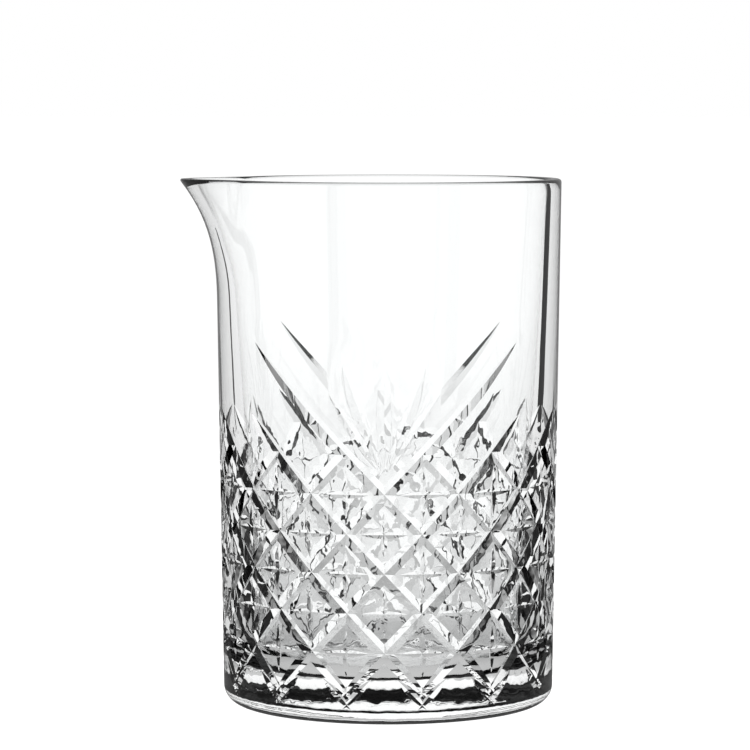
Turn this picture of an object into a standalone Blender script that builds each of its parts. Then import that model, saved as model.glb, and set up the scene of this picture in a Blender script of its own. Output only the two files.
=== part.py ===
"""Mixing glass: a heavy pressed bar glass with a pouring lip and a diamond-cut lower half.

The glass stands on its foot at the origin, +Z up, with the lip towards -X. It is one piece of
glass, so it is one object: a turned body with a rounded foot, a thick floor and a rounded rim,
a lattice of V grooves that leaves diamonds standing, and a lip pulled out of the rim.
Lengths are in metres and angles in degrees.
"""
import math

import bmesh
import bpy
from mathutils import Vector

# Body
HEIGHT = 0.147
RIM_RADIUS = 0.0484
FOOT_RADIUS = 0.0462
FOOT_ROUND = 0.005
RIM_ROUND = 0.0010

# Cavity
RIM_WALL = 0.0036
FLOOR_WALL = 0.0098
FLOOR_THICKNESS = 0.011
FLOOR_ROUND = 0.010

# Pouring lip
LIP_DIRECTION = 180.0
LIP_REACH = 0.0102
LIP_FALL = 0.036
LIP_SPREAD = 30.0
LIP_CURVE = 2.8

# Diamond lattice, counted in half diamonds so that crossings fall on whole steps
DIAMONDS_ROUND = 14
LATTICE_STEPS = 6
DIAMOND_HEIGHT = 0.02154
FOOT_BAND = 0.0042
GROOVE_WIDTH = 0.0038
GROOVE_DEPTH = 0.0014
GROOVE_RUN_OUT = 0.008
FRONT_CELL_DIRECTION = -91.5

# Smoothness of the turned surfaces
WALL_RINGS = 9
LOWER_CAVITY_RINGS = 4
ROUND_STEPS = 4
SHARP_ANGLE = 14.0

GLASS_COLOUR = (0.93, 0.96, 0.96, 1.0)
GLASS_ROUGHNESS = 0.02
GLASS_IOR = 1.51

COLUMNS = 2 * DIAMONDS_ROUND
SEGMENTS = 2 * COLUMNS
ROW_HEIGHT = DIAMOND_HEIGHT / 2
LATTICE_FOOT = FOOT_ROUND + FOOT_BAND
LATTICE_TOP = LATTICE_FOOT + LATTICE_STEPS * ROW_HEIGHT


def outer_radius(height):
    """Radius of the uncut outer wall, a straight taper from foot to rim."""
    return FOOT_RADIUS + (RIM_RADIUS - FOOT_RADIUS) * height / HEIGHT


def wall_thickness(height):
    """Thickness of the wall, thin at the rim and heavy at the floor."""
    share = (height - FLOOR_THICKNESS) / (HEIGHT - FLOOR_THICKNESS)
    return FLOOR_WALL + (RIM_WALL - FLOOR_WALL) * share


def lip_push(angle, height):
    """How far the lip draws a point of the wall outwards."""
    rise = (height - (HEIGHT - LIP_FALL)) / LIP_FALL
    if rise <= 0:
        return 0.0
    turn = math.remainder(angle - math.radians(LIP_DIRECTION), math.tau)
    offset = abs(turn) / math.radians(LIP_SPREAD)
    if offset >= 1:
        return 0.0
    return LIP_REACH * rise ** LIP_CURVE * 0.5 * (1 + math.cos(math.pi * offset))


def place(angle, radius, height):
    """Point at an angle, radius and height, with the lip's pull added."""
    reach = radius + lip_push(angle, height)
    return Vector((reach * math.cos(angle), reach * math.sin(angle), height))


def column_angle(column):
    """Angle of a lattice column, which may be a fraction of one."""
    return math.radians(FRONT_CELL_DIRECTION) + column * math.tau / COLUMNS


def row_height(row):
    """Height of a lattice row, counted down from the topmost crossings."""
    return LATTICE_TOP - row * ROW_HEIGHT


def ring(bm, radius, height):
    """Full circle of points, two to a lattice column."""
    return [bm.verts.new(place(column_angle(step / 2), radius, height)) for step in range(SEGMENTS)]


def band(bm, lower, upper):
    """Quads between two rings, facing away from the axis when upper is the higher one."""
    for step in range(SEGMENTS):
        after = (step + 1) % SEGMENTS
        bm.faces.new((lower[step], lower[after], upper[after], upper[step]))


def plateau_share():
    """Share of a diamond's half width and height that is left standing between the grooves."""
    half_width = outer_radius(LATTICE_TOP) * math.tau / COLUMNS
    edge_distance = half_width * ROW_HEIGHT / math.hypot(half_width, ROW_HEIGHT)
    return 1 - 0.5 * GROOVE_WIDTH / edge_distance


def lattice(bm, top_ring, foot_ring):
    """V grooves and standing diamonds between the two rings."""
    share = plateau_share()
    crossings = {}
    corners = {}
    for row in range(LATTICE_STEPS + 1):
        for column in range(COLUMNS):
            if (column + row) % 2:
                height = row_height(row)
                radius = outer_radius(height) - GROOVE_DEPTH
                crossings[column, row] = bm.verts.new(place(column_angle(column), radius, height))
            else:
                corners[column, row] = diamond_corners(bm, column, row, share)

    for (column, row), diamond in corners.items():
        left = crossings[(column - 1) % COLUMNS, row]
        right = crossings[(column + 1) % COLUMNS, row]
        if row > 0:
            above = crossings[column, row - 1]
            bm.faces.new((diamond["middle"], diamond["right"], diamond["top"]))
            bm.faces.new((diamond["middle"], diamond["top"], diamond["left"]))
            bm.faces.new((diamond["right"], right, above, diamond["top"]))
            bm.faces.new((left, diamond["left"], diamond["top"], above))
        else:
            close_edge(bm, corners, crossings, column, row, top_ring, upwards=True)
        if row < LATTICE_STEPS:
            below = crossings[column, row + 1]
            bm.faces.new((diamond["middle"], diamond["left"], diamond["bottom"]))
            bm.faces.new((diamond["middle"], diamond["bottom"], diamond["right"]))
            bm.faces.new((left, below, diamond["bottom"], diamond["left"]))
            bm.faces.new((below, right, diamond["right"], diamond["bottom"]))
        else:
            close_edge(bm, corners, crossings, column, row, foot_ring, upwards=False)


def diamond_corners(bm, column, row, share):
    """Middle and corners of one standing diamond, half of one on the topmost and lowest rows."""
    offsets = {"middle": (0, 0), "left": (-share, 0), "right": (share, 0)}
    if row > 0:
        offsets["top"] = (0, -share)
    if row < LATTICE_STEPS:
        offsets["bottom"] = (0, share)
    points = {}
    for name, (across, down) in offsets.items():
        height = row_height(row + down)
        points[name] = bm.verts.new(place(column_angle(column + across), outer_radius(height), height))
    return points


def close_edge(bm, corners, crossings, column, row, circle, upwards):
    """Join a half diamond and the groove ends beside it to the plain wall."""
    diamond = corners[column, row]
    following = corners[(column + 2) % COLUMNS, row]
    crossing = crossings[(column + 1) % COLUMNS, row]
    around = [circle[(2 * column + step) % SEGMENTS] for step in range(-2, 3)]
    faces = (
        (diamond["left"], diamond["middle"], around[2], around[1], around[0]),
        (diamond["middle"], diamond["right"], around[4], around[3], around[2]),
        (diamond["right"], crossing, around[4]),
        (crossing, following["left"], around[4]),
    )
    for face in faces:
        bm.faces.new(face if upwards else tuple(reversed(face)))


def between(start, end, steps):
    """Evenly spaced values after start, up to and with end."""
    return [start + (end - start) * step / steps for step in range(1, steps + 1)]


def glass_mesh():
    """Closed body of the glass: foot, lattice, wall, lip, rim and cavity."""
    bm = bmesh.new()
    shoulder = HEIGHT - RIM_ROUND

    foot = []
    for step in range(ROUND_STEPS + 1):
        angle = math.radians(90 * step / ROUND_STEPS)
        radius = outer_radius(FOOT_ROUND) - FOOT_ROUND * (1 - math.sin(angle))
        foot.append(ring(bm, radius, FOOT_ROUND * (1 - math.cos(angle))))
    bm.faces.new(tuple(reversed(foot[0])))

    upper_heights = between(LATTICE_TOP + GROOVE_RUN_OUT, shoulder, WALL_RINGS)
    lattice_edge = ring(bm, outer_radius(LATTICE_TOP + GROOVE_RUN_OUT), LATTICE_TOP + GROOVE_RUN_OUT)
    lattice(bm, lattice_edge, foot[-1])

    wall = [lattice_edge] + [ring(bm, outer_radius(height), height) for height in upper_heights]
    middle = outer_radius(shoulder) - RIM_ROUND
    for step in range(1, ROUND_STEPS + 1):
        angle = math.radians(90 * step / ROUND_STEPS)
        wall.append(ring(bm, middle + RIM_ROUND * math.cos(angle), shoulder + RIM_ROUND * math.sin(angle)))
    middle = outer_radius(shoulder) - wall_thickness(shoulder) + RIM_ROUND
    for step in range(ROUND_STEPS):
        angle = math.radians(90 + 90 * step / ROUND_STEPS)
        wall.append(ring(bm, middle + RIM_ROUND * math.cos(angle), shoulder + RIM_ROUND * math.sin(angle)))

    round_top = FLOOR_THICKNESS + FLOOR_ROUND
    cavity_heights = upper_heights[::-1] + between(upper_heights[0], round_top, LOWER_CAVITY_RINGS)
    wall += [ring(bm, outer_radius(height) - wall_thickness(height), height) for height in cavity_heights]
    round_middle = outer_radius(round_top) - wall_thickness(round_top) - FLOOR_ROUND
    for step in range(1, ROUND_STEPS + 1):
        angle = math.radians(90 * step / ROUND_STEPS)
        radius = round_middle + FLOOR_ROUND * math.cos(angle)
        wall.append(ring(bm, radius, round_top - FLOOR_ROUND * math.sin(angle)))
    bm.faces.new(wall[-1])

    for rings in (foot, wall):
        for lower, upper in zip(rings, rings[1:]):
            band(bm, lower, upper)

    mesh = bpy.data.meshes.new("glass_body")
    bm.to_mesh(mesh)
    bm.free()
    mesh.shade_smooth()
    mesh.set_sharp_from_angle(angle=math.radians(SHARP_ANGLE))
    return mesh


def clear_glass():
    """Colourless soda-lime glass."""
    material = bpy.data.materials.new("clear_glass")
    material.use_nodes = True
    shader = material.node_tree.nodes["Principled BSDF"]
    shader.inputs["Base Color"].default_value = GLASS_COLOUR
    shader.inputs["Roughness"].default_value = GLASS_ROUGHNESS
    shader.inputs["Metallic"].default_value = 0.0
    shader.inputs["IOR"].default_value = GLASS_IOR
    shader.inputs["Transmission Weight"].default_value = 1.0
    return material


for old in list(bpy.data.objects):
    bpy.data.objects.remove(old, do_unlink=True)

glass_body = bpy.data.objects.new("glass_body", glass_mesh())
glass_body.data.materials.append(clear_glass())
bpy.context.scene.collection.objects.link(glass_body)
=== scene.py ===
"""Mixing glass: a heavy cut bar glass with a pouring lip, made around its fixed frame.

The cut wall is modelled flat, as one quarter of the way round, where every groove is a plain
wheel cut. The quarter is then wrapped round the glass four times, and the turned foot, wall, rim
and cavity are joined to it before the lip is pulled.
"""
import math

import bmesh
import bpy
from bpy.props import FloatProperty, FloatVectorProperty, IntProperty, PointerProperty
from bpy.types import Operator, Panel, PropertyGroup
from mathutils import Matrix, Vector


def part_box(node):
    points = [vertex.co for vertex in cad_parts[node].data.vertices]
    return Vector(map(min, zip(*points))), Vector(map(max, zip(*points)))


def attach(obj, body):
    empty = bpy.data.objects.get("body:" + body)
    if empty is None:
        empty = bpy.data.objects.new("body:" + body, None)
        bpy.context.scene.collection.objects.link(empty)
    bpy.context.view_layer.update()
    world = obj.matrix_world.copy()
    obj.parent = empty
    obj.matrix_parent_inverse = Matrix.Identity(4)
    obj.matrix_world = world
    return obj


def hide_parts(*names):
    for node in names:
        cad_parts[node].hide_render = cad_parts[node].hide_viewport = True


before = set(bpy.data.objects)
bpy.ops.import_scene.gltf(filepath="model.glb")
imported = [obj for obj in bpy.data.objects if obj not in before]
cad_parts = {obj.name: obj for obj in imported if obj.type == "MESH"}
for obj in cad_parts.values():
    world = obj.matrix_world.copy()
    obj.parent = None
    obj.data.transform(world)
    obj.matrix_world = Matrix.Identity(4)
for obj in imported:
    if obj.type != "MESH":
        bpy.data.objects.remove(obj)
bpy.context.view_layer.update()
BODY_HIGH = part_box("glass_body")[1]

bl_info = {
    "name": "Mixing Glass",
    "version": (1, 0, 0),
    "blender": (4, 5, 0),
    "location": "3D View > Sidebar > Mixing Glass",
    "description": "Builds a cut mixing glass with a pouring lip, and a pale studio to show it in",
    "category": "Object",
}

MERGE = 2e-6
BISECT_REACH = 1e-7

# How far the flats of the faceted frame lie inside the true round of the rim
FACET_SAG = 0.00005

# Rows of crossings in the lattice, and how far the cut skin runs past it
LATTICE_ROWS = 6
SKIN_FOOT = 0.0025
SKIN_MARGIN_ROWS = 0.2


class MixingGlassBody(PropertyGroup):
    """Sizes of the turned body and its lip."""

    height: FloatProperty(
        name="Height", description="From the table to the rim",
        default=BODY_HIGH[2], unit="LENGTH")
    rim_radius: FloatProperty(
        name="Rim radius", description="Outside radius of the round part of the rim",
        default=BODY_HIGH[0] + FACET_SAG, unit="LENGTH")
    foot_radius: FloatProperty(
        name="Foot radius", description="Outside radius that the wall tapers down to",
        default=0.0462, unit="LENGTH")
    foot_round: FloatProperty(
        name="Foot round", description="Radius of the rounded edge it stands on",
        default=0.005, unit="LENGTH")
    rim_wall: FloatProperty(
        name="Rim wall", description="Thickness of the wall at the rim",
        default=0.0036, unit="LENGTH")
    rim_round: FloatProperty(
        name="Rim round", description="Radius of the rim's two edges",
        default=0.0010, unit="LENGTH")
    floor_wall: FloatProperty(
        name="Floor wall", description="Thickness of the wall at the floor",
        default=0.0098, unit="LENGTH")
    floor_thickness: FloatProperty(
        name="Floor thickness", description="Thickness of the floor",
        default=0.011, unit="LENGTH")
    floor_round: FloatProperty(
        name="Floor round", description="Radius between the floor and the cavity's wall",
        default=0.010, unit="LENGTH")
    lip_reach: FloatProperty(
        name="Lip reach", description="How far the lip is pulled past the round rim",
        default=0.0102, unit="LENGTH")
    lip_fall: FloatProperty(
        name="Lip fall", description="Height over which the lip grows out of the wall",
        default=0.036, unit="LENGTH")
    lip_spread: FloatProperty(
        name="Lip spread", description="Half of the angle that the lip takes up",
        default=math.radians(30), subtype="ANGLE")
    lip_curve: FloatProperty(
        name="Lip curve", description="How late the lip turns outwards", default=2.8)


class MixingGlassCuts(PropertyGroup):
    """Sizes of the cut pattern."""

    diamonds: IntProperty(
        name="Diamonds", description="Diamonds round the glass, a multiple of two",
        default=14, min=6, max=30)
    front: FloatProperty(
        name="Front", description="Direction that the middle of the front motif faces",
        default=math.radians(-91.5), subtype="ANGLE")
    lattice_top: FloatProperty(
        name="Lattice top", description="Height of the topmost crossings",
        default=0.07382, unit="LENGTH")
    row_height: FloatProperty(
        name="Row height", description="Height from one row of crossings to the next",
        default=0.01077, unit="LENGTH")
    mitre_width: FloatProperty(
        name="Mitre width", description="Width of the main grooves",
        default=0.0038, unit="LENGTH")
    mitre_depth: FloatProperty(
        name="Mitre depth", description="Depth of the main grooves",
        default=0.0011, unit="LENGTH")
    long_tip: FloatProperty(
        name="Long tip", description="Rows that the middle grooves rise above the lattice",
        default=2.75)
    short_tip: FloatProperty(
        name="Short tip", description="Rows that the other grooves rise above the lattice",
        default=0.95)
    star_reach: FloatProperty(
        name="Star reach", description="From a star's middle to its points",
        default=0.0064, unit="LENGTH")
    star_width: FloatProperty(
        name="Star width", description="Width of a star's arms at its middle",
        default=0.0019, unit="LENGTH")
    star_depth: FloatProperty(
        name="Star depth", description="Depth of a star at its middle",
        default=0.00055, unit="LENGTH")


class MixingGlassFinish(PropertyGroup):
    """Colour and finish of the glass."""

    tint: FloatVectorProperty(
        name="Tint", description="Colour of the glass", subtype="COLOR",
        size=4, min=0, max=1, default=(0.985, 0.992, 0.992, 1))
    roughness: FloatProperty(
        name="Roughness", description="Haze of the fire-polished surface", default=0.0, min=0, max=1)
    ior: FloatProperty(
        name="Bending", description="How strongly the glass bends light", default=1.51)
    ripple: FloatProperty(
        name="Ripple", description="Height of the faint ripple in the plain wall",
        default=0.00002, unit="LENGTH")
    flow: FloatProperty(
        name="Flow", description="Height of the flow marks that fire-polishing leaves in the cut wall",
        default=0.00008, unit="LENGTH")


class MixingGlassStudio(PropertyGroup):
    """Floor, air and camera."""

    floor_colour: FloatVectorProperty(
        name="Floor", description="Colour of the floor", subtype="COLOR",
        size=4, min=0, max=1, default=(0.92, 0.92, 0.92, 1))
    backdrop: FloatProperty(
        name="Backdrop", description="Brightness of the air behind the glass", default=1.0)
    lens: FloatProperty(
        name="Lens", description="Focal length of the camera", default=178.8, unit="CAMERA")


# ---------------------------------------------------------------- modelling tools


def deselect_all():
    """Leave nothing selected."""
    if bpy.context.object is not None and bpy.context.object.mode != "OBJECT":
        bpy.ops.object.mode_set(mode="OBJECT")
    bpy.ops.object.select_all(action="DESELECT")


def pick_out(piece):
    """Make one object the active and only selected one."""
    deselect_all()
    piece.select_set(True)
    bpy.context.view_layer.objects.active = piece


def open_mesh(piece):
    """Start editing one object."""
    pick_out(piece)
    bpy.ops.object.mode_set(mode="EDIT")


def close_mesh():
    """Stop editing."""
    bpy.ops.object.mode_set(mode="OBJECT")


def select_where(piece, kind, test):
    """Select the verts, edges or faces of an open mesh for which test is true."""
    modes = {"verts": "VERT", "edges": "EDGE", "faces": "FACE"}
    bpy.ops.mesh.select_mode(type=modes[kind])
    bpy.ops.mesh.select_all(action="DESELECT")
    mesh = bmesh.from_edit_mesh(piece.data)
    for part in getattr(mesh, kind):
        if test(part):
            part.select_set(True)
    bmesh.update_edit_mesh(piece.data)


def join(pieces, name):
    """Join objects into the first one."""
    deselect_all()
    for piece in pieces:
        piece.select_set(True)
    bpy.context.view_layer.objects.active = pieces[0]
    bpy.ops.object.join()
    joined = bpy.context.object
    joined.name = name
    joined.data.name = name
    return joined


# ---------------------------------------------------------------- the body's outline


def outer_radius(body, height):
    """Outside radius of the uncut body, with the rounded foot."""
    taper = (body.rim_radius - body.foot_radius) / body.height
    if height >= body.foot_round:
        return body.foot_radius + taper * height
    drop = body.foot_round - height
    edge = body.foot_radius + taper * body.foot_round - body.foot_round
    return edge + math.sqrt(max(body.foot_round ** 2 - drop ** 2, 0))


def inner_radius(body, height):
    """Radius of the cavity's straight wall."""
    share = (height - body.floor_thickness) / (body.height - body.floor_thickness)
    wall = body.floor_wall + (body.rim_wall - body.floor_wall) * share
    return outer_radius(body, height) - wall


def lip_push(body, angle, height):
    """How far the lip draws a point of the wall outwards."""
    rise = (height - (body.height - body.lip_fall)) / body.lip_fall
    if rise <= 0:
        return 0.0
    offset = abs(math.remainder(angle - math.pi, math.tau)) / body.lip_spread
    if offset >= 1:
        return 0.0
    return body.lip_reach * rise ** body.lip_curve * 0.5 * (1 + math.cos(math.pi * offset))


def steps(start, end, count):
    """Evenly spaced values after start, up to and with end."""
    return [start + (end - start) * step / count for step in range(1, count + 1)]


# ---------------------------------------------------------------- cutting


class CutPlan:
    """Places on the flat quarter: columns to the right of the motif's middle, rows down."""

    def __init__(self, body, cuts):
        columns = cuts.diamonds * 2
        self.radius = outer_radius(body, cuts.lattice_top - LATTICE_ROWS / 2 * cuts.row_height)
        self.width = self.radius * math.tau / columns
        self.quarter = columns // 4
        self.top = cuts.lattice_top
        self.row = cuts.row_height
        self.low = SKIN_FOOT
        self.high = cuts.lattice_top + (cuts.long_tip + SKIN_MARGIN_ROWS) * cuts.row_height

    def at(self, column, row):
        """Flat place of a column and row."""
        return Vector((column * self.width, 0, self.top - row * self.row))


BLADE_STEPS = 28
BLADE_CLEAR = 0.0006


def make_blade():
    """A long three-sided blade, crosswise steps along it, for every groove to be shaped from."""
    deselect_all()
    bpy.ops.mesh.primitive_cylinder_add(vertices=3, radius=1, depth=2)
    blade = bpy.context.object
    open_mesh(blade)
    select_where(blade, "edges", lambda edge: abs(edge.verts[0].co.z - edge.verts[1].co.z) > 1)
    bpy.ops.mesh.subdivide(number_cuts=BLADE_STEPS - 1)
    close_mesh()
    return blade


def wheel_cut(blade, start, end, width, depth, depth_share):
    """Shape a copy of the blade into the glass that one pass of a V wheel takes out."""
    groove = bpy.data.objects.new("groove", blade.data.copy())
    bpy.context.scene.collection.objects.link(groove)
    along = end - start
    across = Vector((along.z, 0, -along.x)).normalized()
    slope = 0.5 * width / depth
    for corner in groove.data.vertices:
        share = (corner.co.z + 1) / 2
        keel = start + along * share
        sink = depth * depth_share(share)
        if corner.co.y > 0.5:
            corner.co = keel + Vector((0, sink, 0))
        else:
            side = math.copysign((sink + BLADE_CLEAR) * slope, corner.co.x)
            corner.co = keel + across * side - Vector((0, BLADE_CLEAR, 0))
    return groove


LEAF_OVERRUN = 0.06


def leaf_share(share):
    """Depth along a leaf cut, as a wheel leaves it: deepest at the middle, nothing at the tips."""
    reach = (share - 0.5) / (0.5 - LEAF_OVERRUN)
    return 1 - reach * reach


def leaf_cut(blade, start, end, width, depth):
    """A leaf-shaped cut with its points at start and end."""
    overrun = (end - start) * LEAF_OVERRUN / (1 - 2 * LEAF_OVERRUN)
    return wheel_cut(blade, start - overrun, end + overrun, width, depth, leaf_share)


# In rows: how far a groove's cut starts above its tip and ends below the lattice, and fades out
TIP_OVERRUN = 1.05
FOOT_OVERRUN = 0.3
FOOT_FADE = 1.25
TIP_POWER = 3


def mitre_cut(blade, plan, cuts, column, side, tip):
    """A main groove from the topmost crossing at a column down to the lowest one.

    side is 1 where it runs down to the right and -1 to the left. It rises tip rows above the
    lattice to a point, and fades out over its last row.
    """
    above = tip * TIP_OVERRUN
    total = above + LATTICE_ROWS + FOOT_OVERRUN

    def share_at(share):
        row = share * total - above
        if row < 0:
            return 1 - (-row / tip) ** TIP_POWER
        if row > LATTICE_ROWS - 1:
            return 1 - ((row - LATTICE_ROWS + 1) / FOOT_FADE) ** 2
        return 1.0

    start = plan.at(column - side * above, -above)
    lowest = LATTICE_ROWS + FOOT_OVERRUN
    end = plan.at(column + side * lowest, lowest)
    return wheel_cut(blade, start, end, cuts.mitre_width, cuts.mitre_depth, share_at)


def lattice_cuts(blade, plan, cuts):
    """The main grooves that cross the quarter, with the tips that rise above the lattice."""
    grooves = []
    last = plan.quarter
    for column in range(1, 2 * last + 1, 2):
        tip = 0.0
        if column <= last:
            tip = cuts.long_tip if column == 1 else cuts.short_tip
        grooves.append(mitre_cut(blade, plan, cuts, column, -1, tip))
    for column in range(-last, last + 1, 2):
        tip = 0.0
        if column < 0:
            tip = cuts.long_tip if column == -1 else cuts.short_tip
        elif column == last:
            tip = cuts.short_tip
        grooves.append(mitre_cut(blade, plan, cuts, column, 1, tip))
    return grooves


def star_cuts(blade, plan, cuts):
    """A four-pointed star in every whole diamond."""
    stars = []
    for row in range(1, LATTICE_ROWS):
        for column in range(-1, plan.quarter + 2):
            if (column + row) % 2:
                continue
            middle = plan.at(column, row)
            for arm in (Vector((cuts.star_reach, 0, 0)), Vector((0, 0, cuts.star_reach))):
                stars.append(leaf_cut(blade, middle - arm, middle + arm, cuts.star_width, cuts.star_depth))
    return stars


# A gouge's ends, each as columns from the crossing above it and height
GOUGE_TOP = (0.66, 0.0130)
GOUGE_FOOT = (0.12, 0.0046)
GOUGE_WIDTH = 0.0021
GOUGE_DEPTH = 0.0009


def foot_cuts(blade, plan):
    """Pairs of short gouges that meet below the lowest crossings."""
    gouges = []
    for column in range(-1, plan.quarter + 2, 2):
        for side in (-1, 1):
            upper = Vector(((column + GOUGE_TOP[0] * side) * plan.width, 0, GOUGE_TOP[1]))
            lower = Vector(((column - GOUGE_FOOT[0] * side) * plan.width, 0, GOUGE_FOOT[1]))
            gouges.append(leaf_cut(blade, upper, lower, GOUGE_WIDTH, GOUGE_DEPTH))
    return gouges


# Each leaf's lean in degrees, its reach and its width, and how deep a leaf is for its width
FAN_LEAVES = ((0, 0.0335, 0.0042), (20, 0.0330, 0.0034), (33, 0.0280, 0.0030))
FAN_STEEPNESS = 0.16
FAN_RISE = 0.004
FAN_HUB = 0.003


def fan_cuts(blade, plan):
    """A fan of leaves that spreads upwards between the two long tips."""
    root = plan.at(0, 1) + Vector((0, 0, FAN_RISE))
    leaves = []
    for turn, reach, width in FAN_LEAVES:
        for side in (-1, 1) if turn else (1,):
            angle = math.radians(turn * side)
            along = Vector((math.sin(angle), 0, math.cos(angle)))
            near = root + along * FAN_HUB
            far = root + along * reach
            leaves.append(leaf_cut(blade, near, far, width, width * FAN_STEEPNESS))
    return leaves


# Strips that a lattice column is bent in, bands down the round of the foot, and the flat's thickness
STRIPS = 6
FOOT_BANDS = 4
SLAB = 0.003


def cut_quarter(body, cuts):
    """The cut outer skin of a quarter of the glass, laid out flat."""
    plan = CutPlan(body, cuts)
    blade = make_blade()
    grooves = lattice_cuts(blade, plan, cuts) + star_cuts(blade, plan, cuts)
    grooves += foot_cuts(blade, plan) + fan_cuts(blade, plan)
    bpy.data.objects.remove(blade)
    cutter = join(grooves, "cutter")

    right = plan.quarter * plan.width
    deselect_all()
    bpy.ops.mesh.primitive_cube_add(
        size=1, location=(right / 2, SLAB / 2, (plan.low + plan.high) / 2),
        scale=(right, SLAB, plan.high - plan.low))
    skin = bpy.context.object
    bpy.ops.object.transform_apply(location=True, rotation=True, scale=True)
    cut = skin.modifiers.new("cut", "BOOLEAN")
    cut.operation = "DIFFERENCE"
    cut.solver = "EXACT"
    cut.use_self = True
    cut.object = cutter
    bpy.ops.object.modifier_apply(modifier="cut")
    bpy.data.objects.remove(cutter)

    def on_hidden_side(face):
        middle = face.calc_center_median()
        at_end = min(abs(middle.x), abs(middle.x - right)) < MERGE
        at_edge = min(abs(middle.z - plan.low), abs(middle.z - plan.high)) < MERGE
        return at_end or at_edge or abs(middle.y - SLAB) < MERGE

    open_mesh(skin)
    select_where(skin, "faces", on_hidden_side)
    bpy.ops.mesh.delete(type="FACE")
    lines = [((step * plan.width / STRIPS, 0, 0), (1, 0, 0)) for step in range(1, plan.quarter * STRIPS)]
    lines += [((0, 0, height), (0, 0, 1)) for height in steps(plan.low, body.foot_round, FOOT_BANDS)]
    for place, facing in lines:
        bpy.ops.mesh.select_all(action="SELECT")
        bpy.ops.mesh.bisect(plane_co=place, plane_no=facing, threshold=BISECT_REACH)
    close_mesh()
    return skin, plan


def wrap(body, plan, skin, start, side):
    """Bend a copy of the flat quarter round the glass, from an angle towards one side."""
    bent = bpy.data.objects.new("quarter", skin.data.copy())
    bpy.context.scene.collection.objects.link(bent)
    for corner in bent.data.vertices:
        angle = start + side * corner.co.x / plan.radius
        radius = outer_radius(body, corner.co.z) - corner.co.y
        corner.co.x = radius * math.cos(angle)
        corner.co.y = radius * math.sin(angle)
    return bent


def turn(outline, start, count, name):
    """Spin an outline of (radius, height) points round the axis."""
    mesh = bpy.data.meshes.new(name)
    direction = Vector((math.cos(start), math.sin(start), 0))
    points = [direction * radius + Vector((0, 0, height)) for radius, height in outline]
    mesh.from_pydata(points, [(index, index + 1) for index in range(len(points) - 1)], [])
    turned = bpy.data.objects.new(name, mesh)
    bpy.context.scene.collection.objects.link(turned)
    open_mesh(turned)
    bpy.ops.mesh.select_all(action="SELECT")
    bpy.ops.mesh.spin(steps=count, angle=math.tau, center=(0, 0, 0), axis=(0, 0, 1))
    close_mesh()
    return turned


# Points along each stretch of the turned outlines
FOOT_POINTS = 8
UNDERSIDE_POINTS = 4
WALL_POINTS = 18
RIM_EDGE_POINTS = 8
LOW_CAVITY_POINTS = 12
FLOOR_ROUND_POINTS = 12
FLOOR_POINTS = 6


def arc(middle, height, radius, angles):
    """Points of a round in an outline, at angles up from its outward side."""
    return [(middle + radius * math.cos(angle), height + radius * math.sin(angle)) for angle in angles]


def foot_outline(body, plan):
    """From the cut skin's lower edge round the foot to the middle of the underside."""
    centre = outer_radius(body, body.foot_round) - body.foot_round
    begin = math.asin((body.foot_round - plan.low) / body.foot_round)
    outline = [(outer_radius(body, plan.low), plan.low)]
    for angle in steps(begin, math.pi / 2, FOOT_POINTS):
        radius = centre + body.foot_round * math.cos(angle)
        outline.append((radius, body.foot_round * (1 - math.sin(angle))))
    return outline + [(radius, 0) for radius in steps(centre, 0, UNDERSIDE_POINTS)]


def wall_outline(body, plan):
    """From the cut skin's upper edge up the wall, over the rim, down the cavity to its middle."""
    edge = body.rim_round
    shoulder = body.height - edge
    upright = math.pi / 2
    wall_heights = steps(plan.high, shoulder, WALL_POINTS)
    outline = [(outer_radius(body, height), height) for height in [plan.high] + wall_heights]
    middle = outer_radius(body, shoulder) - edge
    outline += arc(middle, shoulder, edge, steps(0, upright, RIM_EDGE_POINTS))
    middle = inner_radius(body, shoulder) + edge
    inward = [upright] + steps(upright, math.pi, RIM_EDGE_POINTS)[:-1]
    outline += arc(middle, shoulder, edge, inward)
    round_top = body.floor_thickness + body.floor_round
    cavity = wall_heights[::-1] + steps(wall_heights[0], round_top, LOW_CAVITY_POINTS)
    outline += [(inner_radius(body, height), height) for height in cavity]
    middle = inner_radius(body, round_top) - body.floor_round
    outline += arc(middle, round_top, body.floor_round, steps(0, -upright, FLOOR_ROUND_POINTS))
    return outline + [(radius, body.floor_thickness) for radius in steps(middle, 0, FLOOR_POINTS)]


def pull_lip(body, glass):
    """Draw the lip out of the wall and rim."""
    for corner in glass.data.vertices:
        angle = math.atan2(corner.co.y, corner.co.x)
        push = lip_push(body, angle, corner.co.z)
        if push:
            corner.co.x += push * math.cos(angle)
            corner.co.y += push * math.sin(angle)


SHARP = math.radians(24)


def build_glass(body, cuts):
    """The whole glass as one closed mesh."""
    skin, plan = cut_quarter(body, cuts)
    back = cuts.front + math.pi
    parts = [wrap(body, plan, skin, start, side) for start in (cuts.front, back) for side in (1, -1)]
    bpy.data.objects.remove(skin)
    round_steps = 4 * plan.quarter * STRIPS
    parts.append(turn(foot_outline(body, plan), cuts.front, round_steps, "foot"))
    parts.append(turn(wall_outline(body, plan), cuts.front, round_steps, "wall"))
    glass = join(parts, "cut_glass")
    open_mesh(glass)
    bpy.ops.mesh.select_all(action="SELECT")
    bpy.ops.mesh.remove_doubles(threshold=MERGE)
    bpy.ops.mesh.normals_make_consistent(inside=False)
    close_mesh()
    pull_lip(body, glass)
    pick_out(glass)
    bpy.ops.object.shade_smooth_by_angle(angle=SHARP)
    return glass


# ---------------------------------------------------------------- materials


# Waves to the metre, and the height over which the flow marks die out above the cut wall
RIPPLE_SCALE = 40.0
FLOW_SCALE = 300.0
CUT_BLEND = 0.012


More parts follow.
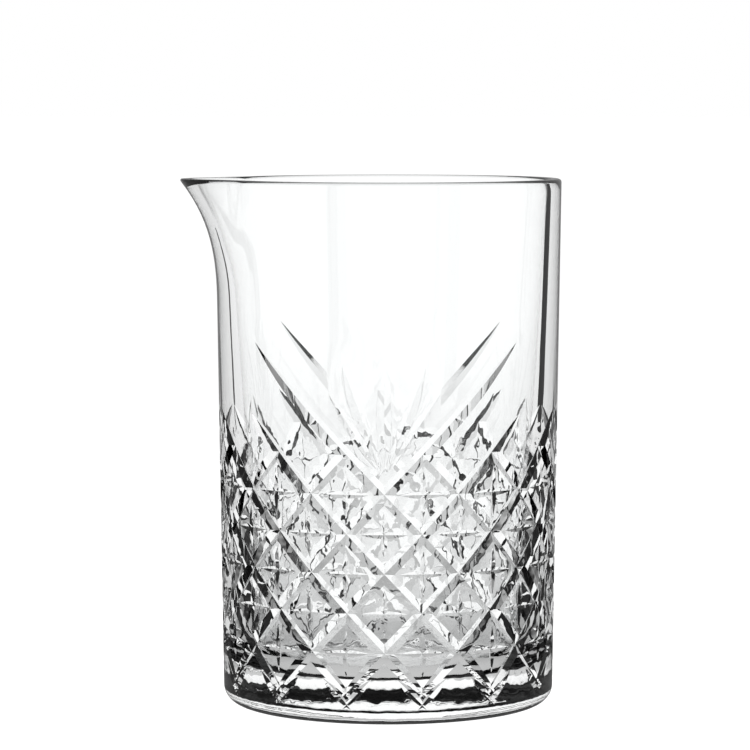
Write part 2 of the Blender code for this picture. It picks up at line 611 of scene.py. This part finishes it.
def bump(nodes, links, place, scale, height):
    """Gentle waves of a given height, scale to the metre."""
    waves = nodes.new("ShaderNodeTexNoise")
    waves.inputs["Scale"].default_value = scale
    waves.inputs["Detail"].default_value = 1.0
    node = nodes.new("ShaderNodeBump")
    node.inputs["Distance"].default_value = height
    links.new(place.outputs["Object"], waves.inputs["Vector"])
    links.new(waves.outputs["Fac"], node.inputs["Height"])
    return node


def clear_glass(finish, cut_top):
    """Colourless pressed glass, rippled by its mould, with flow marks in the cut wall."""
    material = bpy.data.materials.new("clear_glass")
    material.use_nodes = True
    nodes = material.node_tree.nodes
    links = material.node_tree.links
    shader = nodes["Principled BSDF"]
    shader.inputs["Base Color"].default_value = finish.tint
    shader.inputs["Roughness"].default_value = finish.roughness
    shader.inputs["IOR"].default_value = finish.ior
    shader.inputs["Transmission Weight"].default_value = 1.0

    place = nodes.new("ShaderNodeTexCoord")
    ripple = bump(nodes, links, place, RIPPLE_SCALE, finish.ripple)
    flow = bump(nodes, links, place, FLOW_SCALE, finish.flow)
    parts = nodes.new("ShaderNodeSeparateXYZ")
    links.new(place.outputs["Object"], parts.inputs["Vector"])
    cut = nodes.new("ShaderNodeMapRange")
    cut.interpolation_type = "SMOOTHSTEP"
    cut.inputs["From Min"].default_value = cut_top + CUT_BLEND
    cut.inputs["From Max"].default_value = cut_top
    links.new(parts.outputs["Z"], cut.inputs["Value"])
    links.new(cut.outputs["Result"], flow.inputs["Strength"])
    links.new(ripple.outputs["Normal"], flow.inputs["Normal"])
    links.new(flow.outputs["Normal"], shader.inputs["Normal"])

    lit = nodes.new("ShaderNodeBsdfTransparent")
    path = nodes.new("ShaderNodeLightPath")
    mix = nodes.new("ShaderNodeMixShader")
    links.new(path.outputs["Is Shadow Ray"], mix.inputs["Fac"])
    links.new(shader.outputs["BSDF"], mix.inputs[1])
    links.new(lit.outputs["BSDF"], mix.inputs[2])
    links.new(mix.outputs["Shader"], nodes["Material Output"].inputs["Surface"])
    return material


def ramp(nodes, stops):
    """A colour ramp from (position, grey) stops."""
    node = nodes.new("ShaderNodeValToRGB")
    elements = node.color_ramp.elements
    elements.remove(elements[1])
    elements[0].position = stops[0][0]
    for position, grey in stops[1:]:
        elements.new(position)
    for element, (position, grey) in zip(elements, stops):
        element.color = (grey, grey, grey, 1)
    return node


def math_node(nodes, links, operation, first, second):
    """A math node that takes sockets or plain numbers."""
    node = nodes.new("ShaderNodeMath")
    node.operation = operation
    for socket, value in zip(node.inputs, (first, second)):
        if isinstance(value, (int, float)):
            socket.default_value = value
        else:
            links.new(value, socket)
    return node.outputs["Value"]


THROUGH_LIGHT = 1.1
SHEEN_LIGHT = 0.35
TURNED_LIGHT = 0.04
ONCE = 0.5
TWICE = 1.5


def glass_light(nodes, links):
    """How bright the studio is to a ray, by the way it has come.

    Full to one that went straight through the glass, dim to one reflected off its outside, and
    next to nothing to one that was turned back twice or more inside.
    """
    path = nodes.new("ShaderNodeLightPath")
    through = path.outputs["Is Transmission Ray"]
    sheen = math_node(nodes, links, "MULTIPLY", through, THROUGH_LIGHT - SHEEN_LIGHT)
    sheen = math_node(nodes, links, "ADD", sheen, SHEEN_LIGHT)
    turned = math_node(nodes, links, "GREATER_THAN", path.outputs["Glossy Depth"], TWICE)
    left = math_node(nodes, links, "MULTIPLY", turned, TURNED_LIGHT - THROUGH_LIGHT)
    left = math_node(nodes, links, "ADD", left, THROUGH_LIGHT)
    return path, math_node(nodes, links, "MINIMUM", left, sheen)


# Painted shade on the floor that the glass sees: its brightness out from the glass as shares of
# FLOOR_REACH, with a painted shadow darkest just round the foot, and its painted fall into shade towards
# the two sides, from straight ahead at 0 to straight sideways at 1, which takes hold where FLOOR_SIDES_END
# is low
FLOOR_REACH = 0.8
FLOOR_PAINTED_SHADE = (
    (0.0, 0.62), (0.05, 0.52), (0.06, 0.40), (0.10, 0.54), (0.18, 0.62), (0.4, 0.85), (1.0, 1.0))
FLOOR_SIDES = ((0.0, 1.0), (0.72, 1.0), (0.84, 0.05), (1.0, 0.02))
FLOOR_SIDES_END = ((0.0, 1.0), (0.08, 1.0), (0.15, 0.0), (0.22, 0.0), (0.45, 1.0), (1.0, 1.0))
FAR_WHITE = 1.05


def floor_paint(studio):
    """White matte floor to the camera, which the glass itself sees as a glow with painted shade towards
    its foot and its sides.
    """
    material = bpy.data.materials.new("floor_paint")
    material.use_nodes = True
    nodes = material.node_tree.nodes
    links = material.node_tree.links
    matte = nodes["Principled BSDF"]
    matte.inputs["Base Color"].default_value = studio.floor_colour
    matte.inputs["Roughness"].default_value = 0.6
    matte.inputs["Specular IOR Level"].default_value = 0.2

    place = nodes.new("ShaderNodeTexCoord")
    reach = nodes.new("ShaderNodeVectorMath")
    reach.operation = "LENGTH"
    links.new(place.outputs["Object"], reach.inputs[0])
    share = math_node(nodes, links, "DIVIDE", reach.outputs["Value"], FLOOR_REACH)
    # Painted shade by distance from the glass: a painted shadow darkest just round the foot
    shade = ramp(nodes, FLOOR_PAINTED_SHADE)
    links.new(share, shade.inputs["Fac"])
    path, light = glass_light(nodes, links)
    # Painted fall into shade towards the two sides, held off right at the foot and far out
    parts = nodes.new("ShaderNodeSeparateXYZ")
    links.new(place.outputs["Object"], parts.inputs["Vector"])
    sideways = math_node(nodes, links, "ABSOLUTE", parts.outputs["X"], 0.0)
    sideways = math_node(nodes, links, "DIVIDE", sideways, reach.outputs["Value"])
    sides = ramp(nodes, FLOOR_SIDES)
    links.new(sideways, sides.inputs["Fac"])
    distant = ramp(nodes, FLOOR_SIDES_END)
    links.new(share, distant.inputs["Fac"])
    lit = math_node(nodes, links, "MAXIMUM", distant.outputs["Color"], sides.outputs["Color"])
    light = math_node(nodes, links, "MULTIPLY", lit, light)
    # To the glass the floor glows, coloured by the painted shade and dimmed by the painted side shade
    seen = nodes.new("ShaderNodeEmission")
    links.new(shade.outputs["Color"], seen.inputs["Color"])
    links.new(light, seen.inputs["Strength"])
    white = nodes.new("ShaderNodeEmission")
    white.inputs["Strength"].default_value = FAR_WHITE
    far = nodes.new("ShaderNodeMixShader")
    links.new(share, far.inputs["Fac"])
    links.new(matte.outputs["BSDF"], far.inputs[1])
    links.new(white.outputs["Emission"], far.inputs[2])
    mix = nodes.new("ShaderNodeMixShader")
    links.new(path.outputs["Is Camera Ray"], mix.inputs["Fac"])
    links.new(seen.outputs["Emission"], mix.inputs[1])
    links.new(far.outputs["Shader"], mix.inputs[2])
    links.new(mix.outputs["Shader"], nodes["Material Output"].inputs["Surface"])
    return material


def studio_air(studio):
    """White air, which the glass sees dimmed by glass_light."""
    world = bpy.data.worlds.new("studio_air")
    world.use_nodes = True
    nodes = world.node_tree.nodes
    links = world.node_tree.links
    background = nodes["Background"]
    background.inputs["Strength"].default_value = studio.backdrop
    path, light = glass_light(nodes, links)
    shade = math_node(nodes, links, "MAXIMUM", light, path.outputs["Is Camera Ray"])
    links.new(shade, background.inputs["Color"])
    return world


# Cover of a card's painted shade across it and up it, from one edge to the other
CARD_EDGES = ((0.0, 0.0), (0.05, 1.0), (0.95, 1.0), (1.0, 0.0))
CARD_FADE = ((0.0, 1.0), (0.7, 1.0), (1.0, 0.0))


def card_black():
    """Black card with soft edges: painted shade, seen only by light that the glass has turned back."""
    material = bpy.data.materials.new("card_black")
    material.use_nodes = True
    nodes = material.node_tree.nodes
    links = material.node_tree.links
    # Near black: the painted shade that the glass shows as dark lines
    painted_shade_card = nodes["Principled BSDF"]
    painted_shade_card.inputs["Base Color"].default_value = (0.004, 0.004, 0.004, 1)
    painted_shade_card.inputs["Roughness"].default_value = 0.9
    painted_shade_card.inputs["Specular IOR Level"].default_value = 0.1

    place = nodes.new("ShaderNodeTexCoord")
    parts = nodes.new("ShaderNodeSeparateXYZ")
    links.new(place.outputs["Object"], parts.inputs["Vector"])
    across = ramp(nodes, CARD_EDGES)
    upwards = ramp(nodes, CARD_FADE)
    links.new(math_node(nodes, links, "ADD", parts.outputs["X"], 0.5), across.inputs["Fac"])
    links.new(math_node(nodes, links, "ADD", parts.outputs["Y"], 0.5), upwards.inputs["Fac"])
    solid = math_node(nodes, links, "MULTIPLY", across.outputs["Color"], upwards.outputs["Color"])
    path = nodes.new("ShaderNodeLightPath")
    turned = math_node(nodes, links, "GREATER_THAN", path.outputs["Glossy Depth"], ONCE)
    solid = math_node(nodes, links, "MULTIPLY", solid, turned)
    clear = nodes.new("ShaderNodeBsdfTransparent")
    mix = nodes.new("ShaderNodeMixShader")
    links.new(solid, mix.inputs["Fac"])
    links.new(clear.outputs["BSDF"], mix.inputs[1])
    links.new(painted_shade_card.outputs["BSDF"], mix.inputs[2])
    links.new(mix.outputs["Shader"], nodes["Material Output"].inputs["Surface"])
    return material


CARD_DISTANCE = 0.4
CARD_TOP = 0.22
LINE_CARD_FOOT = 0.10
# Each card's name, the directions that it starts and ends at, in degrees from +Y towards +X, and its foot
CARDS = (
    ("right_card", 39.5, 49.0, 0.0),
    ("right_card_top", 34.0, 40.0, LINE_CARD_FOOT),
    ("rear_right_card", 131.0, 140.5, 0.0),
    ("rear_right_card_top", 140.0, 146.0, LINE_CARD_FOOT),
    ("rear_left_card", 219.0, 221.5, 0.0),
    ("left_card", 318.5, 321.0, 0.0),
)


def stand_card(name, start, end, foot, material):
    """An upright black card across a span of directions, for the glass to show as a dark line."""
    angle = math.radians(start + end) / 2
    width = 2 * CARD_DISTANCE * math.tan(math.radians(end - start) / 2)
    height = CARD_TOP - foot
    place = (CARD_DISTANCE * math.sin(angle), CARD_DISTANCE * math.cos(angle), foot + height / 2)
    deselect_all()
    bpy.ops.mesh.primitive_plane_add(size=1, location=place, rotation=(math.pi / 2, 0, -angle))
    card = bpy.context.object
    card.name = name
    card.scale = (width, height, 1)
    card.data.materials.append(material)
    card.visible_camera = False
    card.visible_diffuse = False
    card.visible_glossy = False
    card.visible_shadow = False


# ---------------------------------------------------------------- operators


class OBJECT_OT_mixing_glass(Operator):
    """Build the cut glass, with its foot, cavity, rim and lip."""

    bl_idname = "object.mixing_glass"
    bl_label = "Cut Glass"

    def execute(self, context):
        scene = context.scene
        glass = build_glass(scene.mixing_glass_body, scene.mixing_glass_cuts)
        glass.data.materials.clear()
        cut_top = scene.mixing_glass_cuts.lattice_top
        glass.data.materials.append(clear_glass(scene.mixing_glass_finish, cut_top))
        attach(glass, "root")
        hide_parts("glass_body")
        return {"FINISHED"}


FLOOR_SIZE = 40
FLOOR_DROP = 0.0001
LIGHT_AIM = Vector((0, 0, 0.07))
# Each lamp's name, place, size and power
LIGHTS = (
    ("top_light", (0, 0, 1.6), 1.6, 30),
    ("side_light", (-1.3, -0.9, 1.1), 0.9, 14),
)
CAMERA_PLACE = (-0.0037, -1.042, 0.1724)
CAMERA_TILT = math.radians(90 - 4.417)


class SCENE_OT_mixing_glass_studio(Operator):
    """Lay the pale floor, stand the cards, hang the lights and set the camera."""

    bl_idname = "scene.mixing_glass_studio"
    bl_label = "Studio"

    def execute(self, context):
        scene = context.scene
        studio = scene.mixing_glass_studio
        deselect_all()
        bpy.ops.mesh.primitive_plane_add(size=FLOOR_SIZE, location=(0, 0, -FLOOR_DROP))
        floor = bpy.context.object
        floor.name = "floor"
        floor.data.materials.append(floor_paint(studio))

        painted_shade_card = card_black()
        for name, start, end, foot in CARDS:
            stand_card(name, start, end, foot, painted_shade_card)

        for name, place, size, power in LIGHTS:
            data = bpy.data.lights.new(name, "AREA")
            data.shape = "DISK"
            data.size = size
            data.energy = power
            lamp = bpy.data.objects.new(name, data)
            lamp.location = place
            aim = LIGHT_AIM - lamp.location
            lamp.rotation_euler = aim.to_track_quat("-Z", "Y").to_euler()
            lamp.visible_transmission = False
            lamp.visible_glossy = False
            scene.collection.objects.link(lamp)

        scene.world = studio_air(studio)
        scene.view_settings.view_transform = "Standard"

        data = bpy.data.cameras.new("camera")
        data.lens = studio.lens
        data.sensor_width = 36
        data.clip_start = 0.05
        camera = bpy.data.objects.new("camera", data)
        camera.location = CAMERA_PLACE
        camera.rotation_euler = (CAMERA_TILT, 0, 0)
        scene.collection.objects.link(camera)
        scene.camera = camera
        return {"FINISHED"}


class VIEW3D_PT_mixing_glass(Panel):
    """Sizes, finish and steps of the mixing glass."""

    bl_label = "Mixing Glass"
    bl_idname = "VIEW3D_PT_mixing_glass"
    bl_space_type = "VIEW_3D"
    bl_region_type = "UI"
    bl_category = "Mixing Glass"

    def draw(self, context):
        layout = self.layout
        for name in SETTINGS:
            group = getattr(context.scene, name)
            box = layout.box()
            for key in group.__annotations__:
                box.prop(group, key)
        for step in STEPS:
            layout.operator(step.bl_idname)


SETTINGS = {
    "mixing_glass_body": MixingGlassBody,
    "mixing_glass_cuts": MixingGlassCuts,
    "mixing_glass_finish": MixingGlassFinish,
    "mixing_glass_studio": MixingGlassStudio,
}
STEPS = (OBJECT_OT_mixing_glass, SCENE_OT_mixing_glass_studio)


def register():
    """Register the settings, the steps and the panel."""
    for name, group in SETTINGS.items():
        bpy.utils.register_class(group)
        setattr(bpy.types.Scene, name, PointerProperty(type=group))
    for step in STEPS:
        bpy.utils.register_class(step)
    bpy.utils.register_class(VIEW3D_PT_mixing_glass)


def unregister():
    """Take the panel, the steps and the settings away again."""
    bpy.utils.unregister_class(VIEW3D_PT_mixing_glass)
    for step in reversed(STEPS):
        bpy.utils.unregister_class(step)
    for name, group in SETTINGS.items():
        delattr(bpy.types.Scene, name)
        bpy.utils.unregister_class(group)


def main():
    """Run every step in order."""
    register()
    bpy.ops.object.mixing_glass()
    bpy.ops.scene.mixing_glass_studio()


if __name__ == "__main__":
    main()
